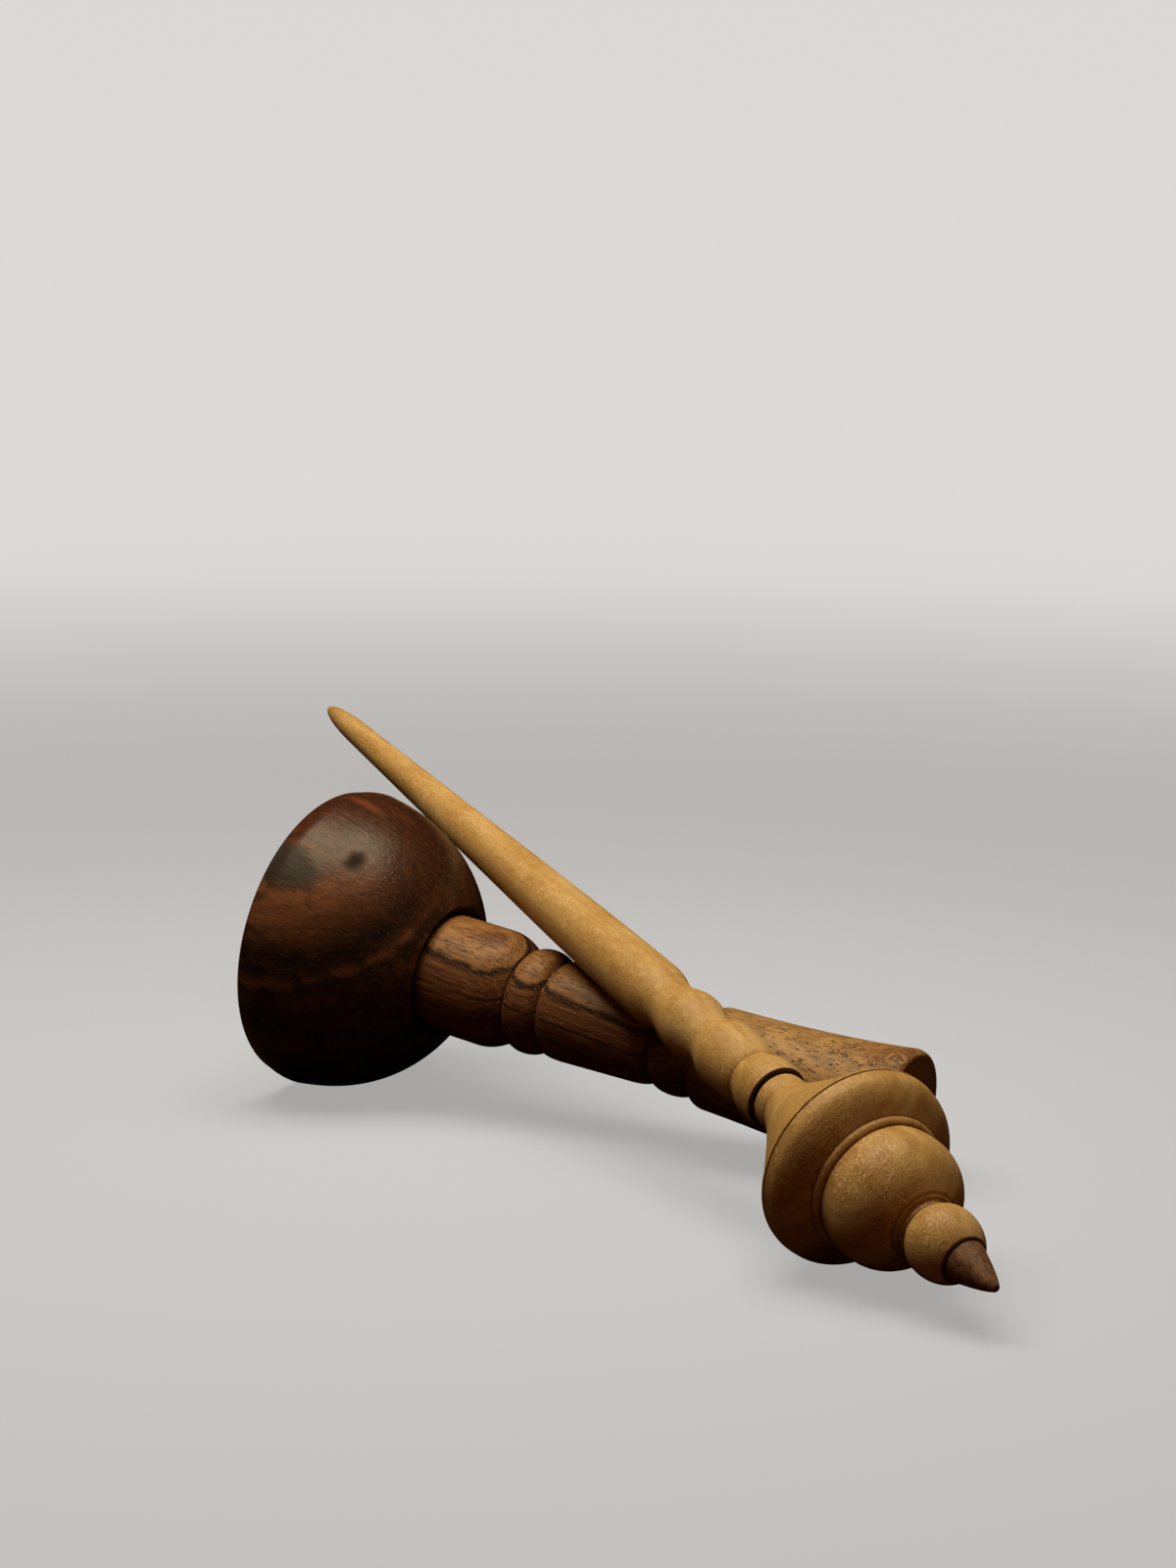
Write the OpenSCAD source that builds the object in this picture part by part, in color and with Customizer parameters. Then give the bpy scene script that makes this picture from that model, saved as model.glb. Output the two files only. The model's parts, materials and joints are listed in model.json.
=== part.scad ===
// Support spindle leaning on its lap bowl. Both are turned wood and lie on a table.
// Each piece is a revolve about its own axis, and functions work out how the pair comes to rest.

/* [Spindle tip] */
// Length of the dark nib, from its point to the small ball
tip_l = 10.1; // [7:0.1:16]
// Diameter of the nib where it meets the small ball
tip_d = 8.8; // [7:0.1:10.2]
// Diameter of the nib's rounded point
point_d = 2.1; // [1:0.1:3]
// Diameter of the nib's tenon
tip_tenon_d = 4.4; // [3:0.1:5.5]
// Length of the nib's tenon
tip_tenon_l = 9; // [6:0.5:12]

/* [Whorl block] */
// Diameter of the small ball
small_ball_d = 14.6; // [12.5:0.1:18]
// Distance from the nib to the small ball's widest ring
small_ball_low = 6.5; // [5:0.1:9]
// Distance from the small ball's widest ring to the crease above it
small_ball_high = 4.8; // [3:0.1:6]
// Diameter of the crease between the balls
waist_d = 10.4; // [9:0.1:12]
// Height of the narrow cove between the crease and the large ball
waist_cove_h = 1.2; // [0.6:0.1:2]
// Diameter of the large ball
ball_d = 27.2; // [26.6:0.1:29.4]
// Distance from the narrow cove to the large ball's widest ring
ball_low = 10; // [8:0.1:14]
// Distance from the large ball's widest ring to the fillet above it
ball_high = 4.8; // [3:0.1:7]
// Diameter of the large ball where the fillet takes over
ball_seat_d = 26; // [20:0.1:27]
// Height of the fillet between the ball and the disc
fillet_w = 1.4; // [1:0.1:4]
// Diameter of the fillet
fillet_d = 29.2; // [27:0.1:33]
// Height of the hollow underside of the disc
under_h = 4; // [2.5:0.1:6]
// Diameter of the disc
whorl_d = 40.4; // [38:0.1:52]
// Thickness of the disc at its rim
rim_t = 4.3; // [3.4:0.1:7]
// Length of the flared cove between the disc and the neck
cove_l = 22.5; // [16:0.1:30]
// Diameter of the neck ring
neck_d = 11.8; // [11:0.1:12.8]
// Length of the neck ring
neck_l = 4.3; // [3:0.1:8]

/* [Spindle shaft] */
// Diameter of the collar above the neck
collar_d = 13.8; // [13:0.1:16]
// Length of the collar
collar_l = 8.7; // [7:0.1:12]
// Diameter of the valley between the collar and the lower bead
valley_low_d = 11.3; // [9:0.1:12.4]
// Diameter of the lower grip bead
bead_low_d = 14.4; // [13.2:0.1:17]
// Length of the lower grip bead
bead_low_l = 16.3; // [12:0.1:22]
// Diameter of the valley between the beads
valley_mid_d = 11; // [9:0.1:12.8]
// Diameter of the upper grip bead
bead_high_d = 14.1; // [13:0.1:17]
// Length of the upper grip bead
bead_high_l = 16.1; // [12:0.1:22]
// Diameter of the valley below the shoulder
valley_high_d = 11.4; // [9:0.1:12.8]
// Diameter of the shoulder where the taper starts
shoulder_d = 13.8; // [13:0.1:16]
// Length of the rounded shoulder
shoulder_l = 7.2; // [5:0.1:12]
// Length of the taper, from the shoulder to the nose
taper_l = 150; // [110:1:190]
// Diameter at the end of the taper, where the nose starts to round
nose_d = 6; // [4.5:0.1:7.5]
// Length of the rounded nose
nose_l = 18; // [10:0.5:24]
// Diameter of the shaft's tenon
shaft_tenon_d = 6.4; // [5:0.1:8]
// Length of the shaft's tenon
shaft_tenon_l = 16; // [10:0.5:22]

/* [Bowl] */
// Outer diameter of the cup at its belly
bowl_d = 68.4; // [64:0.2:84]
// Outer diameter of the cup at its lip
lip_d = 66.6; // [60:0.2:68.4]
// Distance from the lip to the belly
belly_z = 5.4; // [3:0.1:9]
// Height of the cup, from its lip to its base
bowl_h = 34.4; // [31:0.1:42]
// Diameter of the cup's base
base_d = 31.4; // [29.5:0.2:36]
// Wall of the cup at its lip
lip_t = 4.6; // [3:0.1:7]
// Depth of the hollow
hollow_depth = 18; // [12:0.5:20]
// Depth of the recess that the handle stands in
recess_depth = 1.8; // [1:0.1:2.6]

/* [Handle] */
// Diameter of the first barrel, beside the cup
barrel_d = 26.5; // [24.5:0.1:28.5]
// Length of the first barrel, from the cup's base to the first groove
barrel_l = 20.1; // [16:0.1:28]
// Diameter of the two grooves beside the first bead
groove_d = 19.2; // [16:0.1:21.4]
// Diameter of the first bead
bead_d = 23.6; // [22.6:0.1:27]
// Length of the first bead
bead_l = 8.5; // [6:0.1:12]
// Diameter of the long barrel where it starts
grip_d = 22.1; // [21.4:0.1:25]
// Diameter of the long barrel where it ends
grip_end_d = 20.5; // [19.4:0.1:23]
// Length of the long barrel
grip_l = 27.7; // [20:0.1:40]
// Diameter of the two grooves beside the second bead
far_groove_d = 17.3; // [15:0.1:19.4]
// Diameter of the second bead
far_bead_d = 20.9; // [20:0.1:25]
// Length of the second bead
far_bead_l = 9.2; // [6:0.1:12]
// Diameter of the flare where it starts
flare_d = 22.6; // [20.6:0.1:26]
// Diameter of the foot
foot_d = 29.2; // [26:0.2:36]
// Length of the flare, from the last groove to the foot's end
flare_l = 48; // [36:0.5:60]
// Diameter of the handle's tenon
handle_tenon_d = 14; // [10:0.5:18]
// Length of the handle's tenon
handle_tenon_l = 8; // [5:0.5:9]

/* [How they rest] */
// Angle between the spindle and the handle, seen from above
swing = 30; // [20:1:40]
// Place where the spindle crosses the handle, from the cup's lip
cross_bowl = 71; // [62:1:90]
// Place where the spindle crosses the handle, from the spindle's point
cross_spindle = 151; // [126:1:180]
// Clearance between the shaft and the handle that it leans on
lean_gap = 0.3; // [0.2:0.05:0.6]
// Glue clearance round each tenon
glue_gap = 0.05; // [0.02:0.01:0.15]
// Glue room past the end of each tenon
glue_room = 0.6; // [0.2:0.1:1.2]

/* [Hidden] */
maple = [0.80, 0.62, 0.36];
walnut = [0.30, 0.18, 0.11];
nib_wood = [0.25, 0.15, 0.11];
$fn = 96;
// Dark seam between the collar and the neck ring, and the crease below the ring
seam_h = 0.5;
seam_depth = 0.5;
crease_depth = 0.25;
// Seam round the nib: a cut at its base, inside the small ball's edge
nib_cut = 0.3;
nib_step = 0.3;
// Rounding of edges, each as a width across the axis
rim_round = 1.9;
collar_round = 0.4;
lip_round = 1.2;
base_round = 0.4;
barrel_round = 1.2;
foot_round = 1.1;
tenon_bevel = 0.5;
// Fine cuts: the quirks above the rim and below the large ball, and the grooves of the handle
quirk = 0.3;
waist_cove_w = 0.9;
groove_w = 0.8;
groove_bevel = 0.4;

// Stations of the spindle along its axis, from its point
z_small = tip_l + small_ball_low;
z_waist = z_small + small_ball_high;
z_ball = z_waist + waist_cove_h + ball_low;
z_fillet = z_ball + ball_high;
z_under = z_fillet + fillet_w;
z_rim = z_under + under_h;
z_cove = z_rim + rim_t;
z_neck = z_cove + cove_l;
z_joint = z_neck + neck_l;
z_valley_low = z_joint + collar_l;
z_valley_mid = z_valley_low + bead_low_l;
z_valley_high = z_valley_mid + bead_high_l;
z_shoulder = z_valley_high + shoulder_l;
z_nose = z_shoulder + taper_l;
spindle_l = z_nose + nose_l;

// Stations of the bowl and handle along their axis, from the lip
z_seat = bowl_h - recess_depth;
z_groove_one = bowl_h + barrel_l;
z_groove_two = z_groove_one + bead_l;
z_groove_three = z_groove_two + grip_l;
z_groove_four = z_groove_three + far_bead_l;
bowl_l = z_groove_four + flare_l;

// Curves are lists of points [radius, station]
function mix(a, b, t) = a + (b - a) * t;
function arc(c, rx, rz, from, to, n = 12) =
    [for (i = [0:n]) let (t = mix(from, to, i / n)) [c[0] + rx * cos(t), c[1] + rz * sin(t)]];
function bezier(a, b, c, d, n = 16) =
    [for (i = [0:n]) let (t = i / n, s = 1 - t)
        s * s * s * a + 3 * s * s * t * b + 3 * s * t * t * c + t * t * t * d];
// A rounded bead between two points: power 1 is a parabola, and less is fuller
function bead(a, b, crown_d, power, n = 16) =
    let (swell = crown_d / 2 - (a[0] + b[0]) / 2)
    [for (i = [0:n]) let (t = i / n) mix(a, b, t) + [swell * pow(4 * t * (1 - t), power), 0]];
// A smooth half wave between two points, level at both ends
function wave(a, b, n = 12) =
    [for (i = [0:n]) [mix(a[0], b[0], (1 - cos(180 * i / n)) / 2), mix(a[1], b[1], i / n)]];
// An oval ball, from the radius r_low below its widest ring to r_high above it
function ball(z, d, low, high, r_low, r_high) =
    let (cut_low = acos(2 * r_low / d), cut_high = acos(2 * r_high / d))
    concat(arc([0, z], d / 2, low / sin(cut_low), -cut_low, 0),
           arc([0, z], d / 2, high / sin(cut_high), 0, cut_high));

// Nib
point_r = point_d / 2;
point_cut = -36;
nib_curve = concat(
    [[tip_d / 2 - nib_cut, tip_l]],
    bezier([tip_d / 2, tip_l - nib_cut], [0.39 * tip_d, 0.72 * tip_l], [0.29 * tip_d, 0.35 * tip_l],
           [point_r * cos(point_cut), point_r * (1 + sin(point_cut))]),
    arc([0, point_r], point_r, point_r, point_cut, -90, 5));

// Whorl block, from the nib to the collar
rim_r = whorl_d / 2 - rim_round;
neck_r = neck_d / 2 - crease_depth;
seam_r = neck_d / 2 - seam_depth;
rim_low = 0.56 * rim_t;
rim_cut = -58;
rim_end = [rim_r + rim_round * cos(rim_cut), z_rim + rim_low * (1 + sin(rim_cut))];
cove_r = whorl_d / 2 - 1.5 * quirk;
fillet_out = (fillet_d - ball_seat_d) / 2;
fillet_cut = -35;
fillet_end = [ball_seat_d / 2 + fillet_out * cos(fillet_cut), z_under + fillet_w * sin(fillet_cut)];
whorl_curve = concat(
    ball(z_small, small_ball_d, small_ball_low, small_ball_high, tip_d / 2 + nib_step, waist_d / 2),
    arc([waist_d / 2 + waist_cove_w, z_waist], waist_cove_w, waist_cove_h + quirk, 180, 90, 6),
    ball(z_ball, ball_d, ball_low, ball_high, waist_d / 2 + waist_cove_w + quirk / 2, ball_seat_d / 2),
    arc([ball_seat_d / 2, z_under], fillet_out, fillet_w, -90, fillet_cut, 8),
    bezier(fillet_end, fillet_end + [-fillet_out * sin(fillet_cut), fillet_w * cos(fillet_cut)],
           rim_end - [-rim_round * sin(rim_cut), rim_low * cos(rim_cut)], rim_end, 12),
    arc([rim_r, z_rim + rim_low], rim_round, rim_low, rim_cut, 0, 10),
    [[whorl_d / 2, z_cove - 2 * quirk], [whorl_d / 2 - quirk / 3, z_cove - quirk],
     [cove_r - quirk, z_cove - quirk / 2]],
    bezier([cove_r, z_cove], [mix(neck_r, cove_r, 0.54), z_cove + 0.42 * cove_l],
           [mix(neck_r, cove_r, 0.13), z_cove + 0.78 * cove_l], [neck_r, z_neck], 24),
    bead([neck_r, z_neck], [neck_d / 2 - quirk, z_joint - seam_h], neck_d, 0.5, 10),
    [[seam_r, z_joint - seam_h], [seam_r, z_joint]]);

// Shaft, from the collar to the nose
collar_r = collar_d / 2;
valley_r = valley_low_d / 2;
collar_crest = [collar_r, z_joint + 0.42 * collar_l];
collar_cut = 39;
collar_in = 0.9 * (collar_r - valley_r) / (1 - cos(collar_cut));
bead_low_crest = [bead_low_d / 2, z_valley_low + 0.61 * bead_low_l];
valley_mid = [valley_mid_d / 2, z_valley_mid];
bead_high_crest = [bead_high_d / 2, mix(z_valley_mid, z_valley_high, 0.5)];
valley_high = [valley_high_d / 2, z_valley_high];
shaft_curve = concat(
    arc([collar_r - collar_round, collar_crest[1]], collar_round, 0.42 * collar_l, -90, 0, 8),
    arc([collar_r - collar_in, collar_crest[1]], collar_in, 0.45 * collar_l / sin(collar_cut),
        0, collar_cut, 8),
    bezier([valley_r, z_valley_low],
           [mix(valley_low_d, bead_low_d, 0.7) / 2, z_valley_low + 0.06 * bead_low_l],
           [bead_low_crest[0], z_valley_low + 0.5 * bead_low_l], bead_low_crest),
    wave(bead_low_crest, valley_mid),
    wave(valley_mid, bead_high_crest),
    wave(bead_high_crest, valley_high),
    wave(valley_high, [shoulder_d / 2, z_shoulder]),
    bezier([shoulder_d / 2, z_shoulder], [shoulder_d / 2, z_shoulder + 0.18 * taper_l],
           [mix(shoulder_d, nose_d, 0.6) / 2, z_shoulder + 0.62 * taper_l], [nose_d / 2, z_nose], 20),
    bezier([nose_d / 2, z_nose], [0.45 * nose_d, z_nose + 0.58 * nose_l], [0.27 * nose_d, spindle_l],
           [0, spindle_l], 14));

// Cup: its hollow is part of a sphere, and its outside falls from the lip to the base
sphere_r = (pow(lip_d / 2 - lip_t, 2) + pow(hollow_depth, 2)) / (2 * hollow_depth);
sphere_z = hollow_depth - sphere_r;
mouth_cut = asin((lip_round - sphere_z) / sphere_r);
mouth_r = sphere_r * cos(mouth_cut);
hollow_curve = concat(
    arc([0, sphere_z], sphere_r, sphere_r, 90, mouth_cut, 24),
    arc([mouth_r + lip_round, lip_round], lip_round, lip_round, 180, 270, 6));
cup_curve = concat(
    arc([lip_d / 2 - lip_round, lip_round], lip_round, lip_round, 270, 345, 6),
    bezier([lip_d / 2, lip_round], [mix(lip_d, bowl_d, 0.5) / 2, mix(lip_round, belly_z, 0.4)],
           [bowl_d / 2, mix(lip_round, belly_z, 0.6)], [bowl_d / 2, belly_z], 6),
    bezier([bowl_d / 2, belly_z], [bowl_d / 2 - 1, mix(belly_z, bowl_h, 0.2)],
           [mix(base_d, bowl_d, 0.86) / 2, mix(belly_z, bowl_h, 0.65)],
           [base_d / 2, bowl_h - base_round / 2], 28));
recess_curve = concat(
    arc([base_d / 2 - base_round, bowl_h - base_round], base_round, base_round, 45, 90, 4),
    [[barrel_d / 2 - barrel_round / 2, z_seat]]);

// Handle, from the cup to the foot
function groove(z, d) = [[d / 2, z - groove_w / 5], [d / 2, z + groove_w / 5]];
function before(z, d, more = 0) = [d / 2 + groove_bevel + more, z - groove_w / 2];
function after(z, d, more = 0) = [d / 2 + groove_bevel + more, z + groove_w / 2];
flare_start = 4;
foot_z = bowl_l - 2 * foot_round;
handle_curve = concat(
    [[(barrel_d - barrel_round) / 2, z_seat]],
    arc([barrel_d / 2 - barrel_round, z_seat + 2 * barrel_round], barrel_round, 2 * barrel_round, -60, 0, 8),
    bezier([barrel_d / 2, bowl_h + 0.62 * barrel_l], [barrel_d / 2, bowl_h + 0.79 * barrel_l],
           [mix(groove_d, barrel_d, 0.5) / 2, bowl_h + 0.9 * barrel_l],
           before(z_groove_one, groove_d, 0.3), 12),
    groove(z_groove_one, groove_d),
    bead(after(z_groove_one, groove_d, 0.4), before(z_groove_two, groove_d), bead_d, 0.7),
    groove(z_groove_two, groove_d),
    bezier(after(z_groove_two, groove_d), [mix(groove_d, grip_d, 0.9) / 2, z_groove_two + groove_w],
           [grip_d / 2, z_groove_two + 0.09 * grip_l], [grip_d / 2, z_groove_two + 0.17 * grip_l], 8),
    bezier([mix(grip_end_d, grip_d, 0.1) / 2, z_groove_three - 0.2 * grip_l],
           [grip_end_d / 2, z_groove_three - 0.12 * grip_l],
           [mix(far_groove_d, grip_end_d, 0.8) / 2, z_groove_three - 0.05 * grip_l],
           before(z_groove_three, far_groove_d), 8),
    groove(z_groove_three, far_groove_d),
    bead(after(z_groove_three, far_groove_d), before(z_groove_four, far_groove_d), far_bead_d, 0.6),
    groove(z_groove_four, far_groove_d),
    bezier(after(z_groove_four, far_groove_d),
           [mix(far_groove_d, flare_d, 0.8) / 2, z_groove_four + 0.3 * flare_start],
           [flare_d / 2, z_groove_four + 0.6 * flare_start], [flare_d / 2, z_groove_four + flare_start], 10),
    bezier([flare_d / 2, z_groove_four + flare_start],
           [mix(flare_d, foot_d, 0.08) / 2, z_groove_four + 0.35 * flare_l],
           [mix(flare_d, foot_d, 0.4) / 2, z_groove_four + 0.7 * flare_l], [foot_d / 2, foot_z], 20),
    arc([foot_d / 2 - foot_round, foot_z], foot_round, 2 * foot_round, 0, 90, 8));

// How the bowl lies: it tips down towards the foot until belly and foot both touch the floor
function support(curve, angle) = max([for (p = curve) p[0] * cos(angle) + p[1] * sin(angle)]);
function find_slope(low, high, n = 24) =
    let (mid = (low + high) / 2)
    n == 0 ? mid
    : support(cup_curve, mid) > support(handle_curve, mid) ? find_slope(mid, high, n - 1)
    : find_slope(low, mid, n - 1);
slope = find_slope(0, 30);
lip_height = support(cup_curve, slope);
bowl_dir = [cos(slope) * cos(swing), cos(slope) * sin(swing), -sin(slope)];
bowl_at = [-cross_bowl * bowl_dir[0], -cross_bowl * bowl_dir[1], lip_height];

// How the spindle lies: the disc stands on the floor, and the shaft is lowered onto the bowl's outline
function tip_height(lean) = max([for (p = whorl_curve) p[0] * cos(lean) - p[1] * sin(lean)]);
function axis_point(lean, z) = [(cross_spindle - z) * cos(lean), 0, tip_height(lean) + z * sin(lean)];
function from_segment(p, a, b) =
    let (ab = b - a, t = max(0, min(1, (p - a) * ab / max(ab * ab, 0.0001))))
    norm(p - a - t * ab);
bowl_outline = concat(cup_curve, recess_curve, handle_curve);
function from_bowl(p) =
    let (w = p - bowl_at, z = w * bowl_dir, q = [norm(w - z * bowl_dir), z])
    min([for (i = [1:len(bowl_outline) - 1]) from_segment(q, bowl_outline[i - 1], bowl_outline[i])]);
shaft_radius = [for (p = shaft_curve) [p[1], p[0]]];
look_step = 2;
// Least gap between the shaft and the bowl, with balls of the shaft's radius along its axis
function least_gap(lean) =
    min([for (z = [z_joint:look_step:z_nose]) from_bowl(axis_point(lean, z)) - lookup(z, shaft_radius)]);
function find_lean(low, high, n = 10) =
    let (mid = (low + high) / 2)
    n == 0 ? high : least_gap(mid) > lean_gap ? find_lean(low, mid, n - 1) : find_lean(mid, high, n - 1);
lean = find_lean(9, 20);
spindle_dir = [-cos(lean), 0, sin(lean)];

// The origin is under the middle of the pair
function reach(at, dir, curve, i, side) =
    max([for (p = curve) side * (at[i] + p[1] * dir[i]) + p[0] * sqrt(1 - dir[i] * dir[i])]);
function ends(i) =
    let (tip_at = axis_point(lean, 0), turned = concat(nib_curve, whorl_curve, shaft_curve))
    [for (side = [-1, 1]) side * max(reach(tip_at, spindle_dir, turned, i, side),
                                     reach(bowl_at, bowl_dir, bowl_outline, i, side))];
middle = [(ends(0)[0] + ends(0)[1]) / 2, (ends(1)[0] + ends(1)[1]) / 2, 0];
echo(lean = lean, gap = least_gap(lean), slope = slope, spindle_l = spindle_l, bowl_l = bowl_l);
echo(tip_at = axis_point(lean, 0) - middle, spindle_dir = spindle_dir);
echo(bowl_at = bowl_at - middle, bowl_dir = bowl_dir, ends_x = ends(0), ends_y = ends(1));

module spindle_place() {
    translate(axis_point(lean, 0) - middle) rotate([0, lean - 90, 0]) children();
}

module bowl_place() {
    translate(bowl_at - middle) rotate([0, 90 + slope, swing]) children();
}

module turned(curve) {
    rotate_extrude() polygon(curve);
}

// A tenon with a bevelled end, drawn from its shoulder at z = 0 along the axis
module tenon(d, l) {
    turned([[0, -tenon_bevel], [d / 2, -tenon_bevel], [d / 2, l - tenon_bevel],
            [d / 2 - tenon_bevel, l], [0, l]]);
}

module socket(d, l) {
    translate([0, 0, -1]) cylinder(d = d + 2 * glue_gap, h = 1 + l + glue_room);
}

module shaft() {
    color(maple) spindle_place() {
        turned(concat([[0, z_joint]], shaft_curve));
        translate([0, 0, z_joint]) mirror([0, 0, 1]) tenon(shaft_tenon_d, shaft_tenon_l);
    }
}

module whorl() {
    color(maple) spindle_place() difference() {
        turned(concat([[0, tip_l]], whorl_curve, [[0, z_joint]]));
        translate([0, 0, z_joint]) mirror([0, 0, 1]) socket(shaft_tenon_d, shaft_tenon_l);
        translate([0, 0, tip_l]) socket(tip_tenon_d, tip_tenon_l);
    }
}

module tip() {
    color(nib_wood) spindle_place() {
        turned(concat([[0, tip_l]], nib_curve));
        translate([0, 0, tip_l]) tenon(tip_tenon_d, tip_tenon_l);
    }
}

module bowl() {
    color(walnut) bowl_place() difference() {
        turned(concat(hollow_curve, cup_curve, recess_curve, [[0, z_seat]]));
        translate([0, 0, z_seat]) mirror([0, 0, 1]) socket(handle_tenon_d, handle_tenon_l);
    }
}

module handle() {
    color(walnut) bowl_place() {
        turned(concat([[0, z_seat]], handle_curve, [[0, bowl_l]]));
        translate([0, 0, z_seat]) mirror([0, 0, 1]) tenon(handle_tenon_d, handle_tenon_l);
    }
}

shaft();
whorl();
tip();
bowl();
handle();
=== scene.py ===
# A support spindle leaning on its lap bowl, both turned from hardwood and finished with oil.
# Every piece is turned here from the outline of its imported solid, then given its own timber.
import json
import math

import bpy
from mathutils import Euler, Matrix, Vector


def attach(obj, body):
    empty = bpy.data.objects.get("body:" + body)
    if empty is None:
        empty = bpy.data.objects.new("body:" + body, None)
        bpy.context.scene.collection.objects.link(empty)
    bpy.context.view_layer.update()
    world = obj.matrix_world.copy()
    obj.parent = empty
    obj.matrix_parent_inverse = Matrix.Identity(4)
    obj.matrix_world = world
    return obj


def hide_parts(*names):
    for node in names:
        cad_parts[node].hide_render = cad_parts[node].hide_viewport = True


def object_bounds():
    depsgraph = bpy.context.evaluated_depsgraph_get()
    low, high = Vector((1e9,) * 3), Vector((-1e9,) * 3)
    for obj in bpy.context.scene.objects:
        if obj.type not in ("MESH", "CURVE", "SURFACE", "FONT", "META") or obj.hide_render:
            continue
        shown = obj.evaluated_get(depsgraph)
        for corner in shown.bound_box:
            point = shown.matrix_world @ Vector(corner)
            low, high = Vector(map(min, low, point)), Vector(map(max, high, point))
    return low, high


MM = 0.001

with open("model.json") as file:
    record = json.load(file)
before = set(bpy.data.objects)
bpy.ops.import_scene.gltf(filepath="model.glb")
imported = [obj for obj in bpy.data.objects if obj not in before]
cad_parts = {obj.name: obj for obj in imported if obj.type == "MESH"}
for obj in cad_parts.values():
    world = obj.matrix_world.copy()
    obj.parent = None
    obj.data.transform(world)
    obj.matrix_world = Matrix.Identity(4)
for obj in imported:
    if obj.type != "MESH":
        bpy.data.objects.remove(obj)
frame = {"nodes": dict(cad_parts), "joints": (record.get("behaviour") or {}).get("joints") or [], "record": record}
cad_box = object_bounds()
bpy.ops.object.select_all(action="DESELECT")

# Camera: its place is measured from the spindle's spinning point
CAMERA_FROM_POINT = Vector((0.4039, -0.3123, 0.1801))
CAMERA_TURN = 60.55
CAMERA_PITCH = -10.16
CAMERA_ROLL = 0.78
CAMERA_LENS = 68.9
FILM_HEIGHT = 36

# Turning
SPIN_STEPS = 176
SAME_RING = 0.004 * MM
EDGE_ANGLE = 32

# The disc's rim as (station, radius) in millimetres: the fillet at the ball, the underside's curve out to the
# crest by its two ends and two handles, and the ledge behind the crest
BALL_SEAT = (37.4, 13.0)
FILLET_END = (38.6, 14.25)
UNDERSIDE = [(38.8, 14.25), (40.9, 18.5), (42.9, 19.75), (44.2, 19.92)]
LEDGE = [(45.4, 20.1), (45.9, 20.15), (46.1, 19.8), (46.35, 19.8), (46.5, 20.1), (46.9, 20.05), (47.3, 19.7), (47.8, 19.3)]

# Light
LAMP_HEIGHT = 0.42
LAMP_SIZE = (0.42, 0.26)
LAMP_POWER = 1.95
LAMP_PLACE = (-0.02, -0.045)
LAMP_COLOUR = (1.0, 0.85, 0.56)
FILL_COLOUR = (0.020, 0.012, 0.008)
FRONT_FILL = (0.11, 0.030, 0.012)
FRONT_FILL_RISE = 60
FLOOR_BOUNCE = (0.07, 0.038, 0.02)

# Backdrop, as it is seen: the second colour evens out the lamp's warmth
PALE = (0.70, 0.69, 0.67)
PALE_UNDER_LAMP = (0.52, 0.60, 0.90)

# Timbers, as linear colours
GOLD_DEEP = (0.300, 0.130, 0.034)
GOLD_MID = (0.560, 0.345, 0.118)
GOLD_PALE = (0.830, 0.620, 0.340)
GOLD_SHADE = (0.110, 0.036, 0.008)
WALNUT_BLACK = (0.013, 0.007, 0.005)
WALNUT_DEEP = (0.044, 0.017, 0.009)
WALNUT_MID = (0.100, 0.038, 0.018)
WALNUT_BROWN = (0.185, 0.074, 0.032)
WALNUT_RED = (0.215, 0.062, 0.022)
WALNUT_WINE = (0.046, 0.013, 0.006)
WALNUT_GREY = (0.075, 0.035, 0.024)
WALNUT_TAN = (0.300, 0.142, 0.052)
WALNUT_PALE = (0.480, 0.285, 0.118)
TIP_DEEP = (0.050, 0.020, 0.011)
TIP_PALE = (0.330, 0.180, 0.100)
SPECK = (0.80, 0.66, 0.42)
# Near black for the collar's burn line and for painted shade at the joints
BURN_AND_SHADE_DARK = (0.016, 0.006, 0.003)
GREEN_BLACK = (0.026, 0.020, 0.014)

# Rings of the bowl's two blanks: the direction they face, in degrees round the axis from the camera's side,
# and the timber's colour at each distance from the axis that way, in millimetres
CUP_RING_TURN = 36
CUP_BANDS = [(-34, WALNUT_MID), (-27, WALNUT_BROWN), (-20, WALNUT_MID), (-14, WALNUT_DEEP), (-8, WALNUT_MID),
             (-1, WALNUT_DEEP), (5, WALNUT_MID), (10, WALNUT_DEEP), (14, WALNUT_MID), (16.6, WALNUT_DEEP),
             (18.0, WALNUT_BROWN), (19.4, WALNUT_DEEP), (20.6, WALNUT_BLACK), (22.4, WALNUT_BLACK),
             (24.0, WALNUT_DEEP), (26.4, WALNUT_MID), (28.6, WALNUT_BROWN), (30.2, WALNUT_BROWN), (31.2, WALNUT_MID),
             (32.4, WALNUT_GREY), (33.2, WALNUT_GREY), (34.0, WALNUT_RED)]
HANDLE_RING_TURN = 48
HANDLE_SLANT = 0.07
HANDLE_BANDS = [(-18, WALNUT_MID), (-14, WALNUT_BROWN), (-11, WALNUT_DEEP), (-8, WALNUT_MID), (-4, WALNUT_BROWN),
                (0, WALNUT_MID), (3.7, WALNUT_BROWN), (4.3, WALNUT_BLACK), (4.7, WALNUT_BROWN),
                (7.9, WALNUT_BROWN), (8.5, WALNUT_BLACK), (9.0, WALNUT_BLACK), (9.4, WALNUT_TAN),
                (11.2, WALNUT_TAN), (11.7, WALNUT_BROWN), (12.2, WALNUT_PALE), (15, WALNUT_TAN), (18, WALNUT_MID)]
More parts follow.
